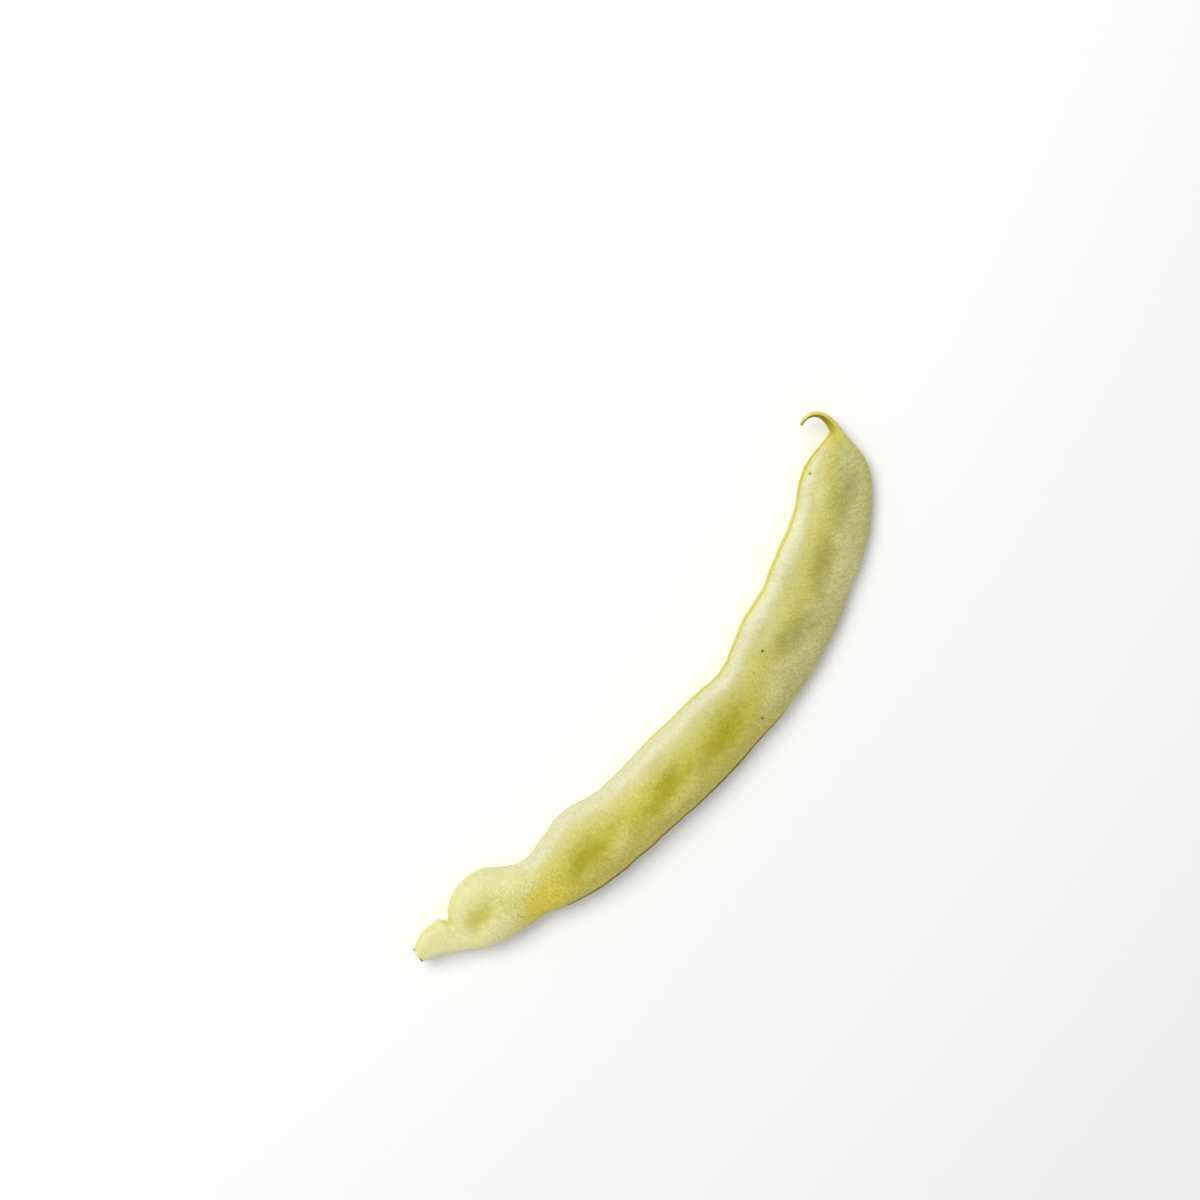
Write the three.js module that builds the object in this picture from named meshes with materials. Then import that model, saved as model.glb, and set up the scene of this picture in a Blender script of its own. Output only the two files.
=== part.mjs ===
// A flat yellow bean pod, picked and lying on one of its broad faces, in millimetres with +Z up.
// It grew as one piece: the neck with the scar of its stalk, the pod and the hooked beak are one solid.
// The scar points to -X and the beak to +X, and the hollow side of the pod's curve faces +Y.
import * as THREE from "three";

// Driving dimensions
const podLength = 164; // along the curved middle line, from the stalk scar to the foot of the beak
const podWidth = 21; // from suture to suture
const podThickness = 7.8; // from face to face
const beakLength = 12.5; // along the hook
const chamberDent = 0.45; // how far each wall sinks over a seed chamber
const restFlat = 0.35; // how far the skin gives where the pod lies on a surface

// Fineness of the solid
const podRings = 96;
const beakRings = 16;
const pointsAround = 20;

// Each outline below is a list of [place, value]. A place of 0 to 1 runs along the pod from the scar
// to the foot of the beak, and 1 to 2 runs along the beak to its tip.

// Heading of the middle line, in degrees from +X towards +Y
const heading = [
  [0, -18], [0.12, -25], [0.19, -23], [0.28, -15.5], [0.4, -10.5], [0.5, -7.5], [0.58, -2], [0.66, 7],
  [0.75, 14], [0.84, 22], [0.9, 31], [0.96, 38], [0.99, 44], [1, 56], [1.1, 78], [1.3, 88], [1.5, 107],
  [1.7, 143], [1.85, 172], [2, 196],
];

// Distance from the middle line to the suture on the hollow side, as a share of half the pod's width
const innerEdge = [
  [0, 0.18], [0.022, 0.37], [0.042, 0.41], [0.053, 0.405], [0.061, 0.34], [0.069, 0.49], [0.085, 0.72],
  [0.105, 0.86], [0.125, 0.905], [0.143, 0.86], [0.165, 0.7], [0.19, 0.57], [0.207, 0.6], [0.235, 0.78],
  [0.265, 0.945], [0.285, 0.985], [0.307, 0.95], [0.345, 0.845], [0.37, 0.85], [0.43, 0.92], [0.49, 0.945],
  [0.55, 0.92], [0.6, 0.83], [0.645, 0.97], [0.685, 1.065], [0.75, 1], [0.8, 1.01], [0.87, 0.895],
  [0.925, 0.845], [0.96, 0.66], [1, 0.17], [1.2, 0.125], [1.5, 0.085], [1.75, 0.055], [2, 0.03],
];

// The same to the suture on the full side
const outerEdge = [
  [0, 0.15], [0.026, 0.27], [0.061, 0.5], [0.09, 0.7], [0.122, 0.785], [0.155, 0.795], [0.186, 0.735],
  [0.231, 0.87], [0.283, 0.945], [0.36, 0.93], [0.5, 0.985], [0.57, 0.98], [0.66, 1.08], [0.72, 1.11],
  [0.8, 1.06], [0.867, 1.065], [0.925, 0.93], [0.963, 0.665], [1, 0.14], [1.2, 0.1], [1.5, 0.072],
  [1.75, 0.055], [2, 0.03],
];

// Thickness, as a share of the pod's
const thickness = [
  [0, 0.4], [0.05, 0.62], [0.12, 0.95], [0.19, 0.86], [0.28, 1], [0.7, 1], [0.87, 0.94], [0.94, 0.72],
  [1, 0.32], [1.2, 0.25], [1.5, 0.18], [2, 0.075],
];

// Lean of the section in degrees: above 0 the hollow side is the higher one
const lean = [[0, -4], [0.2, -6], [0.4, -3], [0.55, 4], [0.7, 8], [0.9, 8], [1, 4], [2, 0]];

// Height of the middle line above where it lies in the pod's middle, as a share of the thickness
const rise = [
  [0, 0.12], [0.12, -0.035], [0.3, 0], [0.8, 0], [0.91, -0.035], [1, 0.06], [1.5, 0.32], [2, 0.42],
];

// Seed chambers: the place of each one's dent along the pod
const chambers = [0.109, 0.276, 0.424, 0.546, 0.697, 0.809, 0.918];
const dentLength = 6.5; // half the length of a dent
const dentSpread = 0.34; // half its width, as a share of half the pod's width

const sectionPower = 2 / 2.2; // a section a little fuller than an ellipse

// Millimetres along the middle line at a place
function distanceAt(place) {
  return Math.min(place, 1) * podLength + Math.max(place - 1, 0) * beakLength;
}

// A smooth curve through an outline's values, as a function of the millimetres along the middle line
function smooth(outline) {
  const distances = outline.map(([place]) => distanceAt(place));
  const values = outline.map(([, value]) => value);
  const curve = new THREE.CubicInterpolant(distances, values, 1);
  return (distance) => curve.evaluate(distance)[0];
}

const headingAt = smooth(heading);
const innerAt = smooth(innerEdge);
const outerAt = smooth(outerEdge);
const thicknessAt = smooth(thickness);
const leanAt = smooth(lean);
const riseAt = smooth(rise);

// Millimetres along the middle line at a ring, from the scar to the tip of the beak
function distanceOfRing(ring) {
  return distanceAt(ring <= podRings ? ring / podRings : 1 + (ring - podRings) / beakRings);
}

// The middle line: each ring is one short step on from the last, along the heading halfway between them
function middleLine() {
  const points = [new THREE.Vector3()];
  for (let ring = 1; ring <= podRings + beakRings; ring++) {
    const from = distanceOfRing(ring - 1);
    const to = distanceOfRing(ring);
    const angle = THREE.MathUtils.degToRad(headingAt((from + to) / 2));
    const step = new THREE.Vector3(Math.cos(angle), Math.sin(angle), 0);
    points.push(step.multiplyScalar(to - from).add(points[ring - 1]));
  }
  points.forEach((point, ring) => (point.z = riseAt(distanceOfRing(ring)) * podThickness));
  return points;
}

// How far the walls sink at a distance along the pod and a share of the way across it
function dentAt(distance, across) {
  const sinkOf = (chamber) => {
    const along = (distance - chamber * podLength) / dentLength;
    return Math.exp(-along * along - (across / dentSpread) ** 2);
  };
  return chamberDent * chambers.reduce((sum, chamber) => sum + sinkOf(chamber), 0);
}

// The sign of a value with its size raised to a power
function signedPower(value, power) {
  return Math.sign(value) * Math.abs(value) ** power;
}

// A cylinder's rings carried along the middle line: its axis becomes the line, its z the way across and
// its x the way up, so that its end discs close the scar and the tip.
function podGeometry() {
  const rings = podRings + beakRings;
  const geometry = new THREE.CylinderGeometry(1, 1, 1, pointsAround, rings);
  const line = middleLine();
  const position = geometry.getAttribute("position");
  const up = new THREE.Vector3(0, 0, 1);
  for (let i = 0; i < position.count; i++) {
    const ring = Math.round((position.getY(i) + 0.5) * rings);
    const distance = distanceOfRing(ring);
    const angle = THREE.MathUtils.degToRad(headingAt(distance));
    const tangent = new THREE.Vector3(Math.cos(angle), Math.sin(angle), 0);
    const leanAngle = THREE.MathUtils.degToRad(leanAt(distance));
    const side = new THREE.Vector3().crossVectors(up, tangent).applyAxisAngle(tangent, leanAngle);
    const face = new THREE.Vector3().crossVectors(tangent, side);

    const across = signedPower(position.getZ(i), sectionPower);
    const height = signedPower(position.getX(i), sectionPower);
    const edge = across > 0 ? innerAt(distance) : outerAt(distance);
    const halfThickness = (thicknessAt(distance) * podThickness) / 2;
    const sunk = dentAt(distance, across) * height;
    const point = line[ring].clone();
    point.addScaledVector(side, (across * edge * podWidth) / 2);
    point.addScaledVector(face, height * halfThickness - sunk);
    position.setXYZ(i, point.x, point.y, point.z);
  }
  return geometry;
}

// Sets the pod down: the skin gives by restFlat under its lowest points, and the origin goes to the middle
// of the pod's box, on the surface it lies on.
function setDown(geometry) {
  geometry.computeBoundingBox();
  const floor = geometry.boundingBox.min.z + restFlat;
  const position = geometry.getAttribute("position");
  for (let i = 0; i < position.count; i++) {
    position.setZ(i, Math.max(position.getZ(i), floor));
  }
  geometry.computeBoundingBox();
  const middle = geometry.boundingBox.getCenter(new THREE.Vector3());
  geometry.translate(-middle.x, -middle.y, -floor);
  geometry.computeVertexNormals();
  return geometry;
}

const podSkin = new THREE.MeshStandardMaterial({ color: 0xddd78c, roughness: 0.5, metalness: 0 });

const pod = new THREE.Mesh(setDown(podGeometry()), podSkin);
pod.name = "pod";

const bean = new THREE.Group();
bean.add(pod);

export default bean;
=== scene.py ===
# A flat yellow bean pod on a pale floor: one fine skin, worked out from the pod's outlines.
import math

import bpy
import numpy as np
from mathutils import Matrix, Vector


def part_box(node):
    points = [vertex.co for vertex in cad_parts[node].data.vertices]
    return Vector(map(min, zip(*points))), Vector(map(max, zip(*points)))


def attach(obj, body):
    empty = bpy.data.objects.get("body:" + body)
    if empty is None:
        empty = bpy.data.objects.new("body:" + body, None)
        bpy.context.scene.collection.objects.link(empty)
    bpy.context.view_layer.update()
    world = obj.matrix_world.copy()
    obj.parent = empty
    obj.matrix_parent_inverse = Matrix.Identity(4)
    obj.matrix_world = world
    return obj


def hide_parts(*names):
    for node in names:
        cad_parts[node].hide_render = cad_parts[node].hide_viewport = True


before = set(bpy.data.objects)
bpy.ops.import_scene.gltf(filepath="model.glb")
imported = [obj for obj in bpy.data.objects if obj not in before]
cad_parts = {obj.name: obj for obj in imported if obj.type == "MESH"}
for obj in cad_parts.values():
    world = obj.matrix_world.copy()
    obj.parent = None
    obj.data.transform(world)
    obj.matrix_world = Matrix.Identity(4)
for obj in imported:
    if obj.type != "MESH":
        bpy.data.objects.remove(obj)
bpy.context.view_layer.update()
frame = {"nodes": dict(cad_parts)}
print("frame loaded:", ", ".join(frame["nodes"]))

mm = 0.001  # Blender's metres in a millimetre
cm = 10  # millimetres in a centimetre

# the pod's own dictionary: millimetres and degrees, and outlines as (place, value)
# a place of 0 to 1 runs from the stalk scar to the foot of the beak, and 1 to 2 along the beak
# a pair says where a soft change starts and where it is complete
pod = {
    "length": 164.0,  # along the curved middle line
    "width": 21.0,  # suture to suture
    "thickness": 7.8,  # face to face
    "beak": 12.5,  # along the hook
    "tipRound": 0.25,  # the last of the beak, which closes to a point
    "restFlat": 0.35,  # how far the skin gives where it lies
    "sectionPower": 2 / 2.2,  # a little fuller than an ellipse
    "heading": [  # of the middle line, from +X towards +Y
        (0, -18), (0.12, -25), (0.19, -23), (0.28, -15.5), (0.4, -10.5), (0.5, -7.5), (0.58, -2),
        (0.66, 7), (0.75, 14), (0.84, 22), (0.9, 31), (0.96, 38), (0.99, 44), (1, 56), (1.1, 78),
        (1.3, 88), (1.5, 107), (1.7, 143), (1.85, 172), (2, 196),
    ],
    "innerEdge": [  # middle line to the suture on the hollow side, in half widths
        (0, 0.18), (0.022, 0.37), (0.042, 0.41), (0.053, 0.405), (0.061, 0.34), (0.069, 0.49),
        (0.085, 0.72), (0.105, 0.86), (0.125, 0.905), (0.143, 0.86), (0.165, 0.7), (0.19, 0.57),
        (0.207, 0.6), (0.235, 0.78), (0.265, 0.945), (0.285, 0.985), (0.307, 0.95), (0.345, 0.845),
        (0.37, 0.85), (0.43, 0.92), (0.49, 0.945), (0.55, 0.92), (0.6, 0.83), (0.645, 0.97),
        (0.685, 1.065), (0.75, 1), (0.8, 1.01), (0.87, 0.895), (0.925, 0.845), (0.96, 0.66), (1, 0.17),
        (1.2, 0.125), (1.5, 0.085), (1.75, 0.055), (2, 0.03),
    ],
    "outerEdge": [  # the same on the full side
        (0, 0.15), (0.026, 0.27), (0.061, 0.5), (0.09, 0.7), (0.122, 0.785), (0.155, 0.795),
        (0.186, 0.735), (0.231, 0.87), (0.283, 0.945), (0.36, 0.93), (0.5, 0.985), (0.57, 0.98),
        (0.66, 1.08), (0.72, 1.11), (0.8, 1.06), (0.867, 1.065), (0.925, 0.93), (0.963, 0.665),
        (1, 0.14), (1.2, 0.1), (1.5, 0.072), (1.75, 0.055), (2, 0.03),
    ],
    "thick": [  # as a share of the thickness
        (0, 0.4), (0.05, 0.62), (0.12, 0.95), (0.19, 0.86), (0.28, 1), (0.7, 1), (0.87, 0.94),
        (0.94, 0.72), (1, 0.32), (1.2, 0.25), (1.5, 0.18), (2, 0.075),
    ],
    # lean of the section: above 0 the hollow side is the higher one
    "lean": [(0, -4), (0.2, -6), (0.4, -3), (0.55, 4), (0.7, 8), (0.9, 8), (1, 4), (2, 0)],
    "rise": [  # of the middle line, in thicknesses
        (0, 0.12), (0.12, -0.035), (0.3, 0), (0.8, 0), (0.91, -0.035), (1, 0.06), (1.5, 0.32), (2, 0.42),
    ],
    # dents over the seed chambers: place, aside, half length, half width, slant and depth
    "dents": [
        (0.102, -0.4, 3.7, 2.8, 30, 0.45),
        (0.279, -1.4, 6.2, 3.4, 16, 0.7),
        (0.424, -1.0, 6.6, 3.2, 14, 0.55),
        (0.543, -0.9, 7.8, 4.2, 15, 0.75),
        (0.701, -1.4, 5.4, 3.3, -24, 0.55),
        (0.811, -0.7, 5.8, 3.2, 12, 0.5),
        (0.914, -3.2, 5.8, 3.5, -20, 0.5),
    ],
    "dentSteep": 1.6,  # how much steeper a dent's wall is towards the full side
    "tintSpread": 1.3,  # how much wider a dent's olive tint and painted shade are than the dent
    "tintMost": 1.2,  # the most that neighbouring tints add up to
    # swells beside the dents, in the same terms with a height
    "swells": [
        (0.126, -3.6, 5.5, 3.0, 12, 0.26),
        (0.175, 1.6, 5.5, 3.2, -30, 0.3),
        (0.325, -3.4, 5.0, 2.6, 25, 0.32),
        (0.41, -5.2, 4.6, 2.2, 10, 0.25),
        (0.458, -4.2, 4.2, 2.4, 25, 0.25),
        (0.49, 1.5, 4.0, 3.0, 0, 0.2),
        (0.632, -3.2, 6.5, 3.2, 22, 0.38),
        (0.755, -2.6, 4.0, 3.6, 10, 0.25),
        (0.812, -5.0, 5.5, 2.4, 8, 0.32),
        (0.853, -1.2, 2.4, 4.2, -20, 0.25),
    ],
    "swellFull": 0.35,  # height at which a swell has its full paler colour, a painted highlight
    # golden patches, in the same terms with a strength
    "golds": [
        (0.197, -5.0, 7.8, 3.4, 10, 1.1),
        (0.185, -1.0, 6.0, 2.4, 20, 0.45),
        (0.335, -3.0, 3.0, 2.4, 30, 0.35),
        (0.505, -0.5, 3.6, 3.0, 0, 0.4),
        (0.632, 4.2, 5.5, 2.8, -15, 0.42),
        (0.866, 6.6, 5.5, 2.6, -8, 0.35),
    ],
    # painted highlights: pale patches where the skin catches the light, in the same terms
    "highlightPatches": [
        (0.157, 3.6, 5.8, 2.7, -20, 0.6),
        (0.695, 5.5, 5.0, 1.5, 0, 0.4),
        (0.81, -8.4, 6.0, 2.0, 0, 0.5),
        (0.917, 5.0, 5.0, 1.6, 0, 0.55),
    ],
    "faceBand": (0.0, 0.5),  # share of the way up from a suture over which these colours come in
    # how clear the sutures are, in millimetres from the scar
    "sutureStart": (8, 24),
    "sutureEnd": (4, 9),  # past the foot of the beak
    "innerFaint": 0.3,  # strength of the hollow side's suture near the neck
    "innerClear": (40, 90),
    "outerFaint": 0.35,  # strength of the full side's suture away from its string
    "stringStart": (25, 45),
    "stringEnd": (95, 120),
    "sutureBand": (0.6, 0.85),  # share of the way across where the skin belongs to a suture
    # height of each suture's seam above the widest part of the section: it winds a little along the pod
    "innerSeam": [
        (0, 0), (0.45, -0.1), (0.55, -0.05), (0.65, 0.05), (0.85, 0.08), (0.93, 0), (0.98, -0.1),
        (1, -0.1), (2, 0),
    ],
    "outerSeam": [(0, 0), (0.16, 0.3), (0.24, 1.05), (0.4, 1.35), (0.6, 1.35), (0.68, 0), (2, 0)],
    "seamThick": 2.0,  # half thickness of the pod at which a seam has its full size
    "seamLeast": 0.2,  # share of that size that it keeps on the beak
    "grooveDepth": 0.28,  # of the seam
    "grooveWidth": 0.4,
    "lipHeight": 0.22,  # of the lips beside it
    "lipPlace": 0.75,  # from the seam
    "lipWidth": 0.42,
    "lipRoom": 0.85,  # share of a lip's height that the outline is drawn in by
    # small knobs along the lips, in the same terms as the ripples below
    "lipKnobs": [(0.9, 0, 0, 0.2, 0.14), (1.7, 0, 0, 1.9, 0.1), (3.1, 0, 0, 3.3, 0.06)],
    # fold between the neck and the first seed chamber, from the notch in the outline towards the middle
    "creasePlace": 0.061,
    "creaseDepth": 0.5,
    "creaseWidth": 0.8,
    "creaseSlant": 0.12,  # how far it runs on along the pod for each millimetre inwards
    "creaseFrom": 4.0,  # millimetres aside where it starts
    "creaseReach": (0.8, 3.0),  # millimetres aside over which it comes in
    # ripples of the skin, as waves: radians per millimetre along, aside and above, start angle, height
    "ripples": [
        (0.31, 0.42, 0.2, 0.4, 0.05), (0.47, -0.36, 0.3, 1.7, 0.045), (0.83, 0.55, -0.4, 2.9, 0.025),
        (0.66, -0.9, 0.5, 4.1, 0.025), (1.5, 1.1, 0.6, 5.3, 0.012), (1.9, -0.7, -0.8, 0.9, 0.01),
    ],
    "rippleStart": (3, 16),  # from the scar
    "rippleEnd": (-12, -2),  # from the foot of the beak
    "scarDepth": 0.7,  # of the dish that the stalk left
    # where the other colours lie
    "scarRim": (0.15, 0.6),  # from the scar, where its colour ends
    "fleckBand": (0.35, 0.8),  # how far the rim's flecks reach around it
    "fleckTurn": 0.5,  # radians from the sutures to the flecks
    "stringLow": (-1.5, -0.9),  # from the seam, where the string's dark line, partly painted shade, starts
    "stringHigh": (-0.35, 0.2),  # and where it ends
    "lipSplit": (-0.3, 0.3),  # from the seam, between the lower lip and the upper one
    "upperLipFade": 0.6,  # how much less the upper lip shows
    "neckReach": (9, 40),  # from the scar
    "tipReach": (-16, -2),  # from the foot of the beak, as the next three are
    "seamGoldStart": (-20, -4),
    "beakStart": (-4.5, 0.5),
    "footReach": (0, 3),
    "seamGoldWidth": 0.85,
    "hollowBand": (-0.15, 0.25),  # share of the way across where the inside of the hook starts
    "hollowFootBand": (0.0, 0.8),  # the same at the hook's foot
}

# fineness of the skin: rows along the pod, points around it, and how much closer together they get
fine = {
    "scarRows": 14,
    "podRows": 520,
    "beakRows": 70,
    "tipRows": 6,
    "around": 150,
    "scarMiddle": 0.04,  # size of the scar's first row, as a share of the scar
    "endBunch": 0.35,  # for rows near both ends of the pod
    "sutureBunch": 0.2,  # for points near both sutures
}


def distanceAt(place):
    # millimetres along the middle line: the pod's length up to place 1, then the beak's
    place = np.asarray(place, float)
    return np.minimum(place, 1) * pod["length"] + np.maximum(place - 1, 0) * pod["beak"]


def curveThrough(outline, distance):
    # cubic through the outline's points, whose slope at a point is the mean of the slopes beside it
    places, values = np.array(outline, float).T
    knots = distanceAt(places)
    secant = np.diff(values) / np.diff(knots)
    slope = np.concatenate([secant[:1], (secant[:-1] + secant[1:]) / 2, secant[-1:]])
    k = np.clip(np.searchsorted(knots, distance) - 1, 0, len(secant) - 1)
    span = knots[k + 1] - knots[k]
    t = np.clip((distance - knots[k]) / span, 0, 1)
    start = (1 + 2 * t) * (1 - t) ** 2 * values[k] + t * (1 - t) ** 2 * span * slope[k]
    end = t * t * (3 - 2 * t) * values[k + 1] - t * t * (1 - t) * span * slope[k + 1]
    return start + end


def softStep(low, high, value):
    # 0 below low, 1 above high, and 3t^2 - 2t^3 between
    t = np.clip((value - low) / (high - low), 0, 1)
    return t * t * (3 - 2 * t)


def bell(value, width):
    # 1 at 0, falling off as exp(-(value / width)^2)
    return np.exp(-((value / width) ** 2))


def signedPower(value, power):
    # the value's sign with its size raised to the power
    return np.sign(value) * np.abs(value) ** power


def ripple(along, aside, above, waves):
    # sum of sines that run on slanted through the straightened pod
    total = np.zeros(aside.shape)
    for turnAlong, turnAside, turnAbove, start, amount in waves:
        total += amount * np.sin(turnAlong * along + turnAside * aside + turnAbove * above + start)
    return total


def ovals(along, aside, spots, spread=1.0, depths=True, steep=1.0):
    # sum of slanted oval bells exp(-(u^2 + v^2)), with u along and v across each one's own slant,
    # and v larger by the factor steep towards the full side
    total = np.zeros(aside.shape)
    for place, asideAt, halfLength, halfWidth, slant, depth in spots:
        x = along - place * pod["length"]
        y = aside - asideAt
        turn = math.radians(slant)
        u = (x * math.cos(turn) + y * math.sin(turn)) / (halfLength * spread)
        v = (y * math.cos(turn) - x * math.sin(turn)) / (halfWidth * spread)
        v = np.where(v < 0, v * steep, v)
        total += (depth if depths else 1.0) * np.exp(-(u**2 + v**2))
    return total


def skinRows():
    # one row of the skin per entry: its distance along, how far it is drawn in to close an end,
    # and how deep it sits in the scar's dish
    scar = np.linspace(fine["scarMiddle"], 1, fine["scarRows"], endpoint=False)
    even = np.linspace(0, 1, fine["podRows"], endpoint=False)
    body = pod["length"] * (even - fine["endBunch"] * np.sin(2 * math.pi * even) / (2 * math.pi))
    straightBeak = pod["beak"] - pod["tipRound"]
    beak = pod["length"] + np.linspace(0, straightBeak, fine["beakRows"])
    close = np.linspace(0, math.pi / 2, fine["tipRows"] + 2)[1:-1]
    tip = pod["length"] + straightBeak + pod["tipRound"] * np.sin(close)
    distance = np.concatenate([np.zeros_like(scar), body, beak, tip])
    drawn = np.concatenate([scar, np.ones_like(body), np.ones_like(beak), np.cos(close)])
    dish = np.concatenate([1 - scar**2, np.zeros(len(body) + len(beak) + len(tip))])
    return distance, drawn, dish


def middleLine(distance):
    # points of the middle line, each a step on from the last along the heading halfway between them,
    # and three directions at each: along the pod, across it to the hollow side, and out of its upper face
    step = np.diff(distance, prepend=0)
    turn = np.radians(curveThrough(pod["heading"], distance - step / 2))
    lineZ = curveThrough(pod["rise"], distance) * pod["thickness"]
    line = np.stack([np.cumsum(step * np.cos(turn)), np.cumsum(step * np.sin(turn)), lineZ], 1)
    heading = np.radians(curveThrough(pod["heading"], distance))
    lean = np.radians(curveThrough(pod["lean"], distance))[:, None]
    tangent = np.stack([np.cos(heading), np.sin(heading), 0 * heading], 1)
    flatSide = np.stack([-np.sin(heading), np.cos(heading), 0 * heading], 1)
    up = np.array([0, 0, 1.0])
    side = flatSide * np.cos(lean) + up * np.sin(lean)
    face = up * np.cos(lean) - flatSide * np.sin(lean)
    return line[:, None, :], tangent[:, None, :], side[:, None, :], face[:, None, :]


def sutureStrength(distance):
    # both sutures fade in at the neck and out on the beak; the hollow side's grows clearer along the pod,
    # and the full side's is clearest along its string
    ends = softStep(*pod["sutureStart"], distance)
    ends = ends * (1 - softStep(*pod["sutureEnd"], distance - pod["length"]))
    clear = softStep(*pod["innerClear"], distance)
    string = softStep(*pod["stringStart"], distance) * (1 - softStep(*pod["stringEnd"], distance))
    inner = ends * (pod["innerFaint"] + (1 - pod["innerFaint"]) * clear)
    outer = ends * (pod["outerFaint"] + (1 - pod["outerFaint"]) * string)
    return inner[:, None], outer[:, None]


def skinNormals(points, outward):
    # cross product of the step around a ring, which wraps, and the step along the pod, facing outward
    wrapped = np.concatenate([points[:, -1:], points, points[:, :1]], 1)
    aroundStep = (wrapped[:, 2:] - wrapped[:, :-2]) / 2
    normal = np.cross(aroundStep, np.gradient(points, axis=0))
    normal /= np.linalg.norm(normal, axis=2, keepdims=True)
    return normal * np.sign(np.sum(normal * outward))


def setDown(points):
    # the skin gives where it lies, and the middle of the pod's box goes to the middle of the solid's
    low, high = (np.array(corner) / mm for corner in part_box("pod"))
    floor = points[..., 2].min() + pod["restFlat"]
    points[..., 2] = np.maximum(points[..., 2], floor)
    flat = points.reshape(-1, 3)
    shift = (low + high) / 2 - (flat.min(0) + flat.max(0)) / 2
    shift[2] = -floor
    return points + shift


def podSkin():
    # the skin is a ring of points carried along the middle line: each ring is a superellipse with its
    # own two half widths, thickness, lean and height, then a relief moves it along its normal
    distance, drawn, dish = (values[:, None] for values in skinRows())
    rowDistance = distance[:, 0]
    line, tangent, side, face = middleLine(rowDistance)
    around = np.linspace(0, 2 * math.pi, fine["around"], endpoint=False)
    around = around - fine["sutureBunch"] * np.sin(2 * around)
    across = signedPower(np.cos(around), pod["sectionPower"])[None, :]
    height = signedPower(np.sin(around), pod["sectionPower"])[None, :]
    onHollowSide = across > 0

    # the outline is drawn in by the room that the sutures' lips take
    half = curveThrough(pod["thick"], distance) * pod["thickness"] / 2
    size = np.clip(half / pod["seamThick"], pod["seamLeast"], 1)  # seams shrink with the beak
    innerOn, outerOn = sutureStrength(rowDistance)
    room = pod["lipRoom"] * pod["lipHeight"] * size
    inner = curveThrough(pod["innerEdge"], distance) * pod["width"] / 2 - room * innerOn
    outer = curveThrough(pod["outerEdge"], distance) * pod["width"] / 2 - room * outerOn
    aside = across * np.where(onHollowSide, inner, outer) * drawn
    above = height * half * drawn
    along = np.broadcast_to(distance, aside.shape)
    pastFoot = along - pod["length"]

    outward = side * aside[..., None] + face * above[..., None]
    points = line + outward + tangent * (dish * pod["scarDepth"])[..., None]
    normal = skinNormals(points, outward)

    # relief: swells less dents, the fold, the lips and groove of the sutures, and the ripples
    dent = ovals(along, aside, pod["dents"], steep=pod["dentSteep"])
    swell = ovals(along, aside, pod["swells"])
    fold = along - pod["creasePlace"] * pod["length"] - pod["creaseSlant"] * (pod["creaseFrom"] - aside)
    crease = bell(fold, pod["creaseWidth"]) * softStep(*pod["creaseReach"], aside)
    seamOn = softStep(*pod["sutureBand"], np.abs(across)) * np.where(onHollowSide, innerOn, outerOn)
    innerSeam = curveThrough(pod["innerSeam"], distance)
    outerSeam = curveThrough(pod["outerSeam"], distance)
    fromSeam = (above - np.where(onHollowSide, innerSeam, outerSeam)) / size
    groove = bell(fromSeam, pod["grooveWidth"])
    lips = bell(np.abs(fromSeam) - pod["lipPlace"], pod["lipWidth"])
    knobblyLips = lips * (1 + ripple(along, aside, above, pod["lipKnobs"]))
    body = softStep(*pod["rippleStart"], along) * (1 - softStep(*pod["rippleEnd"], pastFoot))
    relief = (swell - dent) * np.sqrt(np.abs(height)) - pod["creaseDepth"] * crease
    relief = relief + seamOn * size * (pod["lipHeight"] * knobblyLips - pod["grooveDepth"] * groove)
    relief = relief + body * ripple(along, aside, above, pod["ripples"])
    points = setDown(points + normal * relief[..., None])

    # masks for the colours: how strongly each one lies on every point
    onFace = softStep(*pod["faceBand"], np.abs(height))
    tint = ovals(along, aside, pod["dents"], pod["tintSpread"], depths=False, steep=pod["dentSteep"])
    rim = 1 - softStep(*pod["scarRim"], along)
    flecks = softStep(*pod["fleckBand"], np.abs(np.cos(around + pod["fleckTurn"])))[None, :]
    string = softStep(*pod["stringLow"], fromSeam) * (1 - softStep(*pod["stringHigh"], fromSeam))
    lipShare = 1 - pod["upperLipFade"] * softStep(*pod["lipSplit"], fromSeam)
    foot = 1 - softStep(*pod["footReach"], pastFoot)
    hook = softStep(*pod["hollowBand"], across) * (1 - foot)
    seamGold = softStep(*pod["seamGoldStart"], pastFoot) * bell(fromSeam, pod["seamGoldWidth"])
    masks = {
        "across": across * drawn,
        "dent": np.clip(tint, 0, pod["tintMost"]) * onFace,
        "swell": np.clip(swell / pod["swellFull"], 0, 1) * onFace,
        "golds": ovals(along, aside, pod["golds"]) * onFace,
        "highlightPatches": ovals(along, aside, pod["highlightPatches"]) * onFace,
        "groove": groove * seamOn,
        "lips": lips * lipShare * seamOn,
        "string": np.where(onHollowSide, 0, seamOn) * string,
        "seamEnd": seamGold * seamOn,
        "crease": crease,
        "neck": 1 - softStep(*pod["neckReach"], along),
        "tip": softStep(*pod["tipReach"], pastFoot),
        "beak": softStep(*pod["beakStart"], pastFoot),
        "hollow": hook + softStep(*pod["hollowFootBand"], across) * foot,
        "scar": np.where(dish > 0, 1.0, rim * flecks),
    }
    return points, np.stack([along, aside, above], 2), masks


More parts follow.
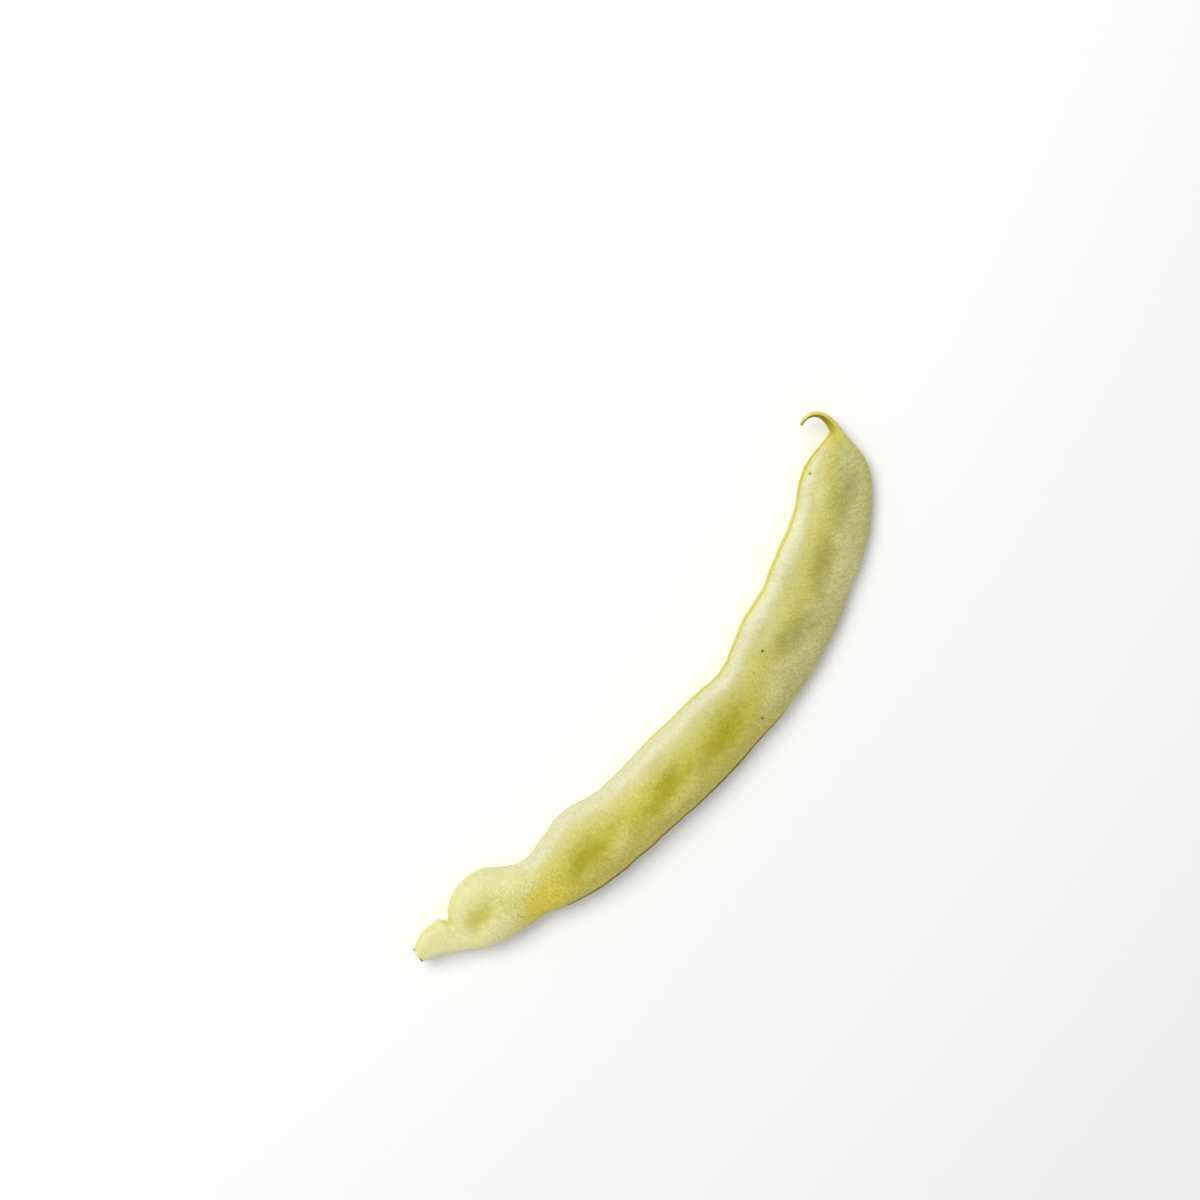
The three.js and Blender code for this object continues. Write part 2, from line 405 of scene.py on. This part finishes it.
def closedTube(name, points):
    # quads between neighbouring rings, and a fan of triangles to a middle point at each end
    rows, around, _ = points.shape
    index = np.arange(rows * around).reshape(rows, around)
    onward = np.roll(index, -1, axis=1)
    quads = np.stack([index[:-1], onward[:-1], onward[1:], index[1:]], 2).reshape(-1, 4)
    first = rows * around
    last = first + 1
    startFan = np.stack([np.full(around, first), onward[0], index[0]], 1)
    endFan = np.stack([np.full(around, last), index[-1], onward[-1]], 1)
    corners = np.concatenate([points.reshape(-1, 3), points[:1].mean(1), points[-1:].mean(1)])
    faces = quads.tolist() + startFan.tolist() + endFan.tolist()
    mesh = bpy.data.meshes.new(name)
    mesh.from_pydata((corners * mm).tolist(), [], faces)
    mesh.polygons.foreach_set("use_smooth", np.ones(len(mesh.polygons), bool))
    mesh.update()
    piece = bpy.data.objects.new(name, mesh)
    bpy.context.scene.collection.objects.link(piece)
    return piece


def addMask(piece, name, values):
    # one number per point; the two end points take the mean of their rings
    full = np.concatenate([values.reshape(-1), [values[0].mean(), values[-1].mean()]])
    layer = piece.data.attributes.new(name, "FLOAT", "POINT")
    layer.data.foreach_set("value", full.astype(np.float32))


def addPlace(piece, name, values):
    # each point's place in the straightened pod, in centimetres: along, aside and above
    full = np.concatenate([values.reshape(-1, 3), values[:1].mean(1), values[-1:].mean(1)]) / cm
    layer = piece.data.attributes.new(name, "FLOAT_VECTOR", "POINT")
    layer.data.foreach_set("vector", full.astype(np.float32).reshape(-1))


points, straight, masks = podSkin()
podPiece = closedTube("pod_skin", points)
for maskName, maskValues in masks.items():
    addMask(podPiece, maskName, np.broadcast_to(maskValues, points.shape[:2]))
addPlace(podPiece, "straight", straight)
print("pod skin made:", len(podPiece.data.polygons), "faces")

# the skin's own dictionary: linear colours, and how they are laid on
# a run of colours goes across the pod from the full side (0) to the hollow side (1): olive and golden
# tones in the middle, with painted shade darkening the full side and a painted whitish highlight on the
# hollow side's shoulder
# a change along the pod is centimetres from, centimetres to, value before and value after
skin = {
    "stemRunWithPaintedLight": [
        (0.02, (0.54, 0.49, 0.115)), (0.18, (0.555, 0.505, 0.1)), (0.33, (0.572, 0.512, 0.086)),
        (0.45, (0.6, 0.55, 0.08)), (0.58, (0.645, 0.59, 0.11)), (0.75, (0.64, 0.605, 0.19)),
        (0.83, (0.625, 0.6, 0.25)), (0.93, (0.65, 0.64, 0.4)),
    ],
    "tipRunWithPaintedLight": [
        (0.02, (0.55, 0.53, 0.165)), (0.18, (0.605, 0.585, 0.23)), (0.33, (0.592, 0.575, 0.235)),
        (0.45, (0.577, 0.54, 0.2)), (0.58, (0.595, 0.55, 0.14)), (0.75, (0.645, 0.612, 0.185)),
        (0.83, (0.62, 0.598, 0.22)), (0.93, (0.68, 0.675, 0.4)),
    ],
    "endRun": [
        (0.1, (0.9, 0.86, 0.4)), (0.3, (0.84, 0.81, 0.44)),
        (0.5, (0.77, 0.74, 0.33)), (0.9, (0.68, 0.66, 0.29)),
    ],
    "endTip": 0.1,  # share of the end's run at the tip, which is 1 at the neck
    # noises in the straightened pod: clouds of 7 mm, patches of 2.5 mm, mottles of 1 mm,
    # freckles of 0.4 mm, slanted streaks and fine pores
    "cloud": {"scale": 1.5, "detail": 4.0, "roughness": 0.55, "stretch": (0.6, 1.1, 1.0)},
    "patch": {"scale": 4.2, "detail": 3.0, "roughness": 0.6, "stretch": (0.8, 1.0, 1.0)},
    "mottle": {"scale": 11.0, "detail": 4.0, "roughness": 0.6},
    "freckle": {"scale": 28.0, "detail": 2.0, "roughness": 0.7},
    "streak": {"scale": 1.0, "detail": 3.0, "roughness": 0.6, "stretch": (14.0, 4.0, 6.0), "turn": -24.0},
    "pores": {"scale": 38.0, "detail": 3.0, "roughness": 0.6},
    # drift moves the runs sideways: shares of the clouds, patches and mottles
    "drift": (0.2, 0.2, 0.08),
    # blotches fray the borders of the colours: shares of the patches, mottles and freckles
    "blotch": (1.3, 0.9, 0.5),
    "smoothNeck": (1.0, 3.0, 0.5, 1.0),  # both are weaker at the neck and near the beak
    "smoothTip": (12.5, 14.5, 1.0, 0.6),
    # borders: the mask's value where a colour starts and where it is full, and how much blotches fray it
    "tipHalf": {"border": (9.0, 11.0), "fray": 1.5},
    "swellEdge": {"border": (0.2, 1.0), "fray": 0.7},
    "goldEdge": {"border": (0.15, 0.9), "fray": 0.9},
    "dentEdge": {"border": (0.1, 1.1), "fray": 1.1},
    # paler over the swells: a painted highlight where the raised skin catches the light
    "swell": (0.7, 0.66, 0.255),
    "swellHighlightAmount": 0.6,
    "patchGold": (0.7, 0.59, 0.065),
    "goldAmount": 0.85,
    # colour of the painted highlights
    "highlightCream": (0.8, 0.775, 0.38),
    "stemDentOliveShade": (0.72, 0.7, 0.18),  # what a dent's colour is multiplied by: olive pigment and painted shade in the hollow
    "tipDentOliveShade": (0.8, 0.785, 0.62),
    "dentNeck": (1.4, 2.8, 0.75, 1.0),
    "lip": (0.6, 0.565, 0.1),
    "lipAmount": 0.85,
    # gold of the seams, also laid as painted shade in the groove and in the fold
    "seamGoldAndShade": (0.54, 0.49, 0.015),
    "grooveAmount": 0.95,
    "creaseShadeAmount": 0.4,
    "tipGold": (0.5, 0.42, 0.01),
    "tipGoldAmount": 0.9,
    # dark olive line under the full side's seam: the string's own colour and painted shade along that edge
    "string": (0.29, 0.24, 0.006),
    "stringMottle": (0.3, 0.7, 0.7, 1.0),  # mottle from, mottle to, and the string's strength at each
    # grain: how strong each noise is, and what it multiplies the colour by at its darkest and lightest
    "grainMottle": (10.5, 12.5, 0.8, 0.2),
    "grainStreak": (9.5, 12.5, 0.6, 1.2),
    "grainFreckle": 2.1,
    "grainShoulder": (0.55, 0.85, 1.0, 0.42),  # across the pod: calmer towards the hollow side
    "grainNeck": (1.0, 2.6, 0.45, 1.0),
    "grainStrength": 1.7,
    "grainDark": (0.86, 0.86, 0.64),
    "grainLight": (1.14, 1.14, 1.36),
    "beakFoot": (0.8, 0.735, 0.12),
    "beakFootAmount": 0.65,
    # the inside of the hook is darker: the seam's gold and painted shade in the curl
    "beakGold": (0.5, 0.41, 0.0),  # inside of the hook, near its foot
    "beakDark": (0.23, 0.19, 0.0),  # and further on
    "beakDarkens": (16.55, 17.0),
    "beakInsideAmount": 0.92,
    "beakTip": (0.25, 0.22, 0.01),
    "beakTipChange": (17.35, 17.65, 0.0, 0.7),
    "scar": (0.16, 0.1, 0.035),
    "scarAmount": 0.9,
    # small brown specks: centimetres along, aside and above, radius and strength
    "specks": [
        (10.87, 0.48, 0.35, 0.05, 0.9), (9.6, -0.54, 0.33, 0.048, 0.95), (15.43, 0.72, 0.15, 0.042, 0.9),
        (10.3, 0.36, 0.37, 0.036, 0.4), (9.37, -0.63, 0.32, 0.032, 0.35), (15.0, 0.12, 0.31, 0.032, 0.4),
    ],
    "speck": (0.13, 0.088, 0.0),
    "speckEdge": (1.0, 0.4),  # in radii, where a speck starts and where it is full
    "speckHalo": (0.98, 0.95, 0.2),  # what the skin around a speck is multiplied by
    "haloEdge": (1.9, 0.7),
    "speckFray": 0.03,  # centimetres
    # shine and softness, with lengths in millimetres
    "roughness": 0.42,
    "specular": 0.4,
    "subsurface": 0.25,
    "subsurfaceRadius": (1.0, 0.85, 0.25),
    "subsurfaceScale": 1.6,
    "sheen": 0.12,
    "sheenRoughness": 0.4,
    "streakBump": 0.045,
    "poreBump": 0.03,
}


class Nodes:
    # short names for adding and joining the nodes of one material
    def __init__(self, name):
        self.material = bpy.data.materials.new(name)
        self.material.use_nodes = True
        self.tree = self.material.node_tree
        self.shader = self.tree.nodes["Principled BSDF"]

    def link(self, source, target):
        self.tree.links.new(source, target)

    def put(self, socket, value):
        if isinstance(value, bpy.types.NodeSocket):
            self.link(value, socket)
        else:
            socket.default_value = value

    def attribute(self, name, kind="Fac"):
        node = self.tree.nodes.new("ShaderNodeAttribute")
        node.attribute_name = name
        return node.outputs[kind]

    def math(self, operation, a, b, clamp=False):
        node = self.tree.nodes.new("ShaderNodeMath")
        node.operation = operation
        node.use_clamp = clamp
        self.put(node.inputs[0], a)
        self.put(node.inputs[1], b)
        return node.outputs[0]

    def plus(self, a, b):
        return self.math("ADD", a, b)

    def times(self, a, b):
        return self.math("MULTIPLY", a, b)

    def mapRange(self, value, low, high, toLow=0.0, toHigh=1.0):
        # toLow at low, toHigh at high, and a soft step between
        node = self.tree.nodes.new("ShaderNodeMapRange")
        node.interpolation_type = "SMOOTHSTEP"
        self.put(node.inputs["Value"], value)
        node.inputs["From Min"].default_value = low
        node.inputs["From Max"].default_value = high
        node.inputs["To Min"].default_value = toLow
        node.inputs["To Max"].default_value = toHigh
        return node.outputs["Result"]

    def mapped(self, vector, kind, value):
        node = self.tree.nodes.new("ShaderNodeMapping")
        self.put(node.inputs["Vector"], vector)
        node.inputs[kind].default_value = value
        return node.outputs["Vector"]

    def noise(self, vector, scale, detail, roughness, stretch=None, turn=None):
        # a noise of 0 to 1, whose space is first turned by degrees around the third axis, then stretched
        if turn is not None:
            vector = self.mapped(vector, "Rotation", (0, 0, math.radians(turn)))
        if stretch is not None:
            vector = self.mapped(vector, "Scale", stretch)
        node = self.tree.nodes.new("ShaderNodeTexNoise")
        self.put(node.inputs["Vector"], vector)
        node.inputs["Scale"].default_value = scale
        node.inputs["Detail"].default_value = detail
        node.inputs["Roughness"].default_value = roughness
        return node.outputs["Fac"]

    def offCentre(self, noise, share):
        # a noise of 0 to 1 turned into one around 0
        return self.times(self.math("SUBTRACT", noise, 0.5), share)

    def sumOf(self, noises, shares):
        # the noises around 0, each with its share, added up
        total = self.offCentre(noises[0], shares[0])
        for noise, share in zip(noises[1:], shares[1:]):
            total = self.plus(total, self.offCentre(noise, share))
        return total

    def frayed(self, mask, blotch, border, fray):
        # 0 to 1 across the border, which the blotches move to and fro
        return self.mapRange(self.plus(mask, self.times(blotch, fray)), *border)

    def mix(self, amount, a, b, blend="MIX"):
        # colour a with b over it by the amount; inputs 6 and 7 are the node's two colours
        node = self.tree.nodes.new("ShaderNodeMix")
        node.data_type = "RGBA"
        node.blend_type = blend
        self.put(node.inputs[0], amount)
        self.put(node.inputs[6], a if isinstance(a, bpy.types.NodeSocket) else (*a, 1))
        self.put(node.inputs[7], b if isinstance(b, bpy.types.NodeSocket) else (*b, 1))
        return node.outputs[2]

    def multiplied(self, color, factor):
        return self.mix(1.0, color, factor, "MULTIPLY")

    def laid(self, color, mask, amount, tint):
        # the tint over the colour, as far as the named mask and the amount let it show
        return self.mix(self.times(self.attribute(mask), amount), color, tint)

    def ramp(self, value, stops):
        # colour that runs through the stops, each a place of 0 to 1 and a colour
        node = self.tree.nodes.new("ShaderNodeValToRGB")
        elements = node.color_ramp.elements
        elements[0].position, elements[1].position = stops[0][0], stops[-1][0]
        elements[0].color, elements[1].color = (*stops[0][1], 1), (*stops[-1][1], 1)
        for position, stopColor in stops[1:-1]:
            elements.new(position).color = (*stopColor, 1)
        self.put(node.inputs["Fac"], value)
        return node.outputs["Color"]

    def alongOf(self, place):
        # the first of a place's three measures
        node = self.tree.nodes.new("ShaderNodeSeparateXYZ")
        self.put(node.inputs[0], place)
        return node.outputs["X"]

    def distance(self, a, b):
        node = self.tree.nodes.new("ShaderNodeVectorMath")
        node.operation = "DISTANCE"
        self.put(node.inputs[0], a)
        self.put(node.inputs[1], b)
        return node.outputs["Value"]

    def bump(self, height, distance, normal=None):
        node = self.tree.nodes.new("ShaderNodeBump")
        node.inputs["Strength"].default_value = 1.0
        node.inputs["Distance"].default_value = distance
        self.put(node.inputs["Height"], height)
        if normal is not None:
            self.put(node.inputs["Normal"], normal)
        return node.outputs["Normal"]


def podSkinMaterial():
    # a run of colours across the pod, then one tint after another by its mask, then grain, beak and
    # specks; the run and several of the tints carry painted highlights and painted shade
    n = Nodes("pod_skin")
    place = n.attribute("straight", "Vector")
    along = n.alongOf(place)
    cloud = n.noise(place, **skin["cloud"])
    patch = n.noise(place, **skin["patch"])
    mottle = n.noise(place, **skin["mottle"])
    freckle = n.noise(place, **skin["freckle"])
    streak = n.noise(place, **skin["streak"])
    pores = n.noise(place, **skin["pores"])
    smoothEnds = n.times(n.mapRange(along, *skin["smoothNeck"]), n.mapRange(along, *skin["smoothTip"]))
    drift = n.times(n.sumOf((cloud, patch, mottle), skin["drift"]), smoothEnds)
    blotch = n.times(n.sumOf((patch, mottle, freckle), skin["blotch"]), smoothEnds)

    # colour across the skin, golden in the stem half and greener in the tip half, paler at the ends;
    # darker towards the full side as painted shade, and whitish on the hollow side's shoulder as a painted
    # highlight
    lane = n.plus(n.times(n.attribute("across"), 0.5), 0.5)  # 0 at the full side, 1 at the hollow side
    lane = n.plus(lane, drift)
    tipHalf = n.frayed(along, blotch, **skin["tipHalf"])
    color = n.mix(tipHalf, n.ramp(lane, skin["stemRunWithPaintedLight"]), n.ramp(lane, skin["tipRunWithPaintedLight"]))
    # paler over the swells: a painted highlight where the raised skin catches the light
    swellHighlight = n.frayed(n.attribute("swell"), blotch, **skin["swellEdge"])
    color = n.mix(n.times(swellHighlight, skin["swellHighlightAmount"]), color, skin["swell"])
    ends = n.math("MAXIMUM", n.attribute("neck"), n.times(n.attribute("tip"), skin["endTip"]))
    color = n.mix(ends, color, n.ramp(lane, skin["endRun"]))
    golds = n.frayed(n.attribute("golds"), blotch, **skin["goldEdge"])
    color = n.mix(n.times(golds, skin["goldAmount"]), color, skin["patchGold"])
    # pale patches: painted highlights
    color = n.mix(n.attribute("highlightPatches"), color, skin["highlightCream"])

    # darker and greener where the walls sink over the seed chambers: olive pigment and painted shade in
    # the dents
    dent = n.frayed(n.attribute("dent"), blotch, **skin["dentEdge"])
    dent = n.times(dent, n.mapRange(along, *skin["dentNeck"]))
    dentOliveAndShade = n.multiplied(color, n.mix(tipHalf, skin["stemDentOliveShade"], skin["tipDentOliveShade"]))
    color = n.mix(dent, color, dentOliveAndShade)

    # pale lips and a golden seam along the sutures, darkened as painted shade in the groove; a dark olive
    # string line at the full side, partly painted shade under the seam; and painted shade in the fold
    # between the neck and the first chamber
    color = n.laid(color, "lips", skin["lipAmount"], skin["lip"])
    color = n.laid(color, "groove", skin["grooveAmount"], skin["seamGoldAndShade"])
    color = n.laid(color, "seamEnd", skin["tipGoldAmount"], skin["tipGold"])
    # the string's olive line, partly painted shade under the seam
    color = n.laid(color, "string", n.mapRange(mottle, *skin["stringMottle"]), skin["string"])
    color = n.laid(color, "crease", skin["creaseShadeAmount"], skin["seamGoldAndShade"])

    # fine grain, calmer on the neck and on the shoulder of the hollow side, streaked near the beak
    mottleShare = n.mapRange(along, *skin["grainMottle"])
    streakShare = n.mapRange(along, *skin["grainStreak"])
    grain = n.sumOf((mottle, streak, freckle), (mottleShare, streakShare, skin["grainFreckle"]))
    calm = n.times(n.mapRange(lane, *skin["grainShoulder"]), n.mapRange(along, *skin["grainNeck"]))
    grain = n.times(n.times(grain, calm), skin["grainStrength"])
    grain = n.math("ADD", grain, 0.5, clamp=True)  # 0.5 leaves the colour as it is
    darker = n.multiplied(color, skin["grainDark"])
    lighter = n.multiplied(color, skin["grainLight"])
    color = n.mix(grain, darker, lighter)

    # beak, golden at the foot and darker on the inside of its hook, the seam's gold with painted shade in
    # the curl, and the stalk's scar
    color = n.laid(color, "beak", skin["beakFootAmount"], skin["beakFoot"])
    inside = n.times(n.attribute("hollow"), skin["beakInsideAmount"])
    insideGoldAndShade = n.mix(n.mapRange(along, *skin["beakDarkens"]), skin["beakGold"], skin["beakDark"])
    color = n.laid(color, "beak", inside, insideGoldAndShade)
    color = n.mix(n.mapRange(along, *skin["beakTipChange"]), color, skin["beakTip"])
    color = n.laid(color, "scar", skin["scarAmount"], skin["scar"])

    # a few brown specks, each in a stained halo
    for alongAt, asideAt, aboveAt, radius, strength in skin["specks"]:
        away = n.distance(place, (alongAt, asideAt, aboveAt))
        away = n.plus(away, n.offCentre(freckle, skin["speckFray"]))
        haloFrom, haloTo = (radius * edge for edge in skin["haloEdge"])
        speckFrom, speckTo = (radius * edge for edge in skin["speckEdge"])
        stained = n.multiplied(color, skin["speckHalo"])
        color = n.mix(n.mapRange(away, haloFrom, haloTo, 0.0, strength), color, stained)
        color = n.mix(n.mapRange(away, speckFrom, speckTo, 0.0, strength), color, skin["speck"])

    normal = n.bump(streak, skin["streakBump"] * mm)
    normal = n.bump(pores, skin["poreBump"] * mm, normal)
    n.link(color, n.shader.inputs["Base Color"])
    n.link(normal, n.shader.inputs["Normal"])
    n.shader.inputs["Roughness"].default_value = skin["roughness"]
    n.shader.inputs["Specular IOR Level"].default_value = skin["specular"]
    n.shader.inputs["Subsurface Weight"].default_value = skin["subsurface"]
    n.shader.inputs["Subsurface Radius"].default_value = skin["subsurfaceRadius"]
    n.shader.inputs["Subsurface Scale"].default_value = skin["subsurfaceScale"] * mm
    n.shader.inputs["Sheen Weight"].default_value = skin["sheen"]
    n.shader.inputs["Sheen Roughness"].default_value = skin["sheenRoughness"]
    return n.material


podPiece.data.materials.append(podSkinMaterial())
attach(podPiece, "root")
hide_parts("pod")
print("pod skin finished")

# floor, light and camera: the studio
studio = {
    "floorSize": 4.0,  # metres
    "floorColor": (0.98, 0.98, 0.98),
    "floorGlow": 0.05,
    "floorRoughness": 0.9,
    "floorSpecular": 0.1,
    "target": (12.65, 30.7, 0.0),  # the point of the floor in the middle of the frame, in millimetres
    "distance": 560.0,  # camera to that point, in millimetres
    "elevation": 72.0,  # degrees above the floor, on the hollow side of the pod's curve
    "roll": 51.0,  # degrees from the pod's chord to the frame's right-hand side
    "frameWidth": 276.0,  # millimetres of floor across the frame
    "sensorWidth": 36.0,  # millimetres
    "nearest": 10.0,  # millimetres from the camera to the first thing it sees
    "keyPlace": (0.02, 0.74, 0.82),  # metres
    "keySize": 0.6,  # metres across
    "keyPower": 8.6,  # watts
    "worldGlow": 0.46,
}


def addFloor():
    # a square around the origin, at height 0
    half = studio["floorSize"] / 2
    corners = [(-half, -half, 0), (half, -half, 0), (half, half, 0), (-half, half, 0)]
    mesh = bpy.data.meshes.new("floor")
    mesh.from_pydata(corners, [], [(0, 1, 2, 3)])
    floor = bpy.data.objects.new("floor", mesh)
    bpy.context.scene.collection.objects.link(floor)
    n = Nodes("floor_white")
    n.shader.inputs["Base Color"].default_value = (*studio["floorColor"], 1)
    n.shader.inputs["Emission Color"].default_value = (1, 1, 1, 1)
    n.shader.inputs["Emission Strength"].default_value = studio["floorGlow"]
    n.shader.inputs["Roughness"].default_value = studio["floorRoughness"]
    n.shader.inputs["Specular IOR Level"].default_value = studio["floorSpecular"]
    mesh.materials.append(n.material)


def aimed(right, up, back, place):
    # matrix of a thing that stands at place, looks against back and has the given right and up
    return Matrix(np.column_stack([right, up, back, place]).tolist() + [[0, 0, 0, 1]])


def addCamera():
    # right, up and back of the camera: back leans to +Y, and up is the roll's way along the floor
    elevation = math.radians(studio["elevation"])
    roll = math.radians(studio["roll"])
    back = np.array([0, math.cos(elevation), math.sin(elevation)])
    up = np.array([math.sin(roll), math.cos(roll), 0])
    up = up - back * (up @ back)
    up = up / np.linalg.norm(up)
    right = np.cross(up, back)
    eye = (np.array(studio["target"]) + back * studio["distance"]) * mm
    camera = bpy.data.objects.new("camera", bpy.data.cameras.new("camera"))
    camera.data.sensor_width = studio["sensorWidth"]
    camera.data.lens = studio["sensorWidth"] * studio["distance"] / studio["frameWidth"]
    camera.data.clip_start = studio["nearest"] * mm
    camera.matrix_world = aimed(right, up, back, eye)
    bpy.context.scene.collection.objects.link(camera)
    bpy.context.scene.camera = camera


def addKeyLight():
    # a round area light that faces the origin
    place = np.array(studio["keyPlace"])
    back = place / np.linalg.norm(place)
    right = np.cross([0, 0, 1.0], back)
    right = right / np.linalg.norm(right)
    lamp = bpy.data.lights.new("key", "AREA")
    lamp.shape = "DISK"
    lamp.size = studio["keySize"]
    lamp.energy = studio["keyPower"]
    light = bpy.data.objects.new("key", lamp)
    light.matrix_world = aimed(right, np.cross(back, right), back, place)
    bpy.context.scene.collection.objects.link(light)


def addWorld():
    # an even white glow from all around
    world = bpy.data.worlds.new("studio")
    world.use_nodes = True
    background = world.node_tree.nodes["Background"]
    background.inputs["Color"].default_value = (1, 1, 1, 1)
    background.inputs["Strength"].default_value = studio["worldGlow"]
    bpy.context.scene.world = world


addFloor()
addCamera()
addKeyLight()
addWorld()
bpy.context.scene.view_settings.view_transform = "Standard"
print("studio set")
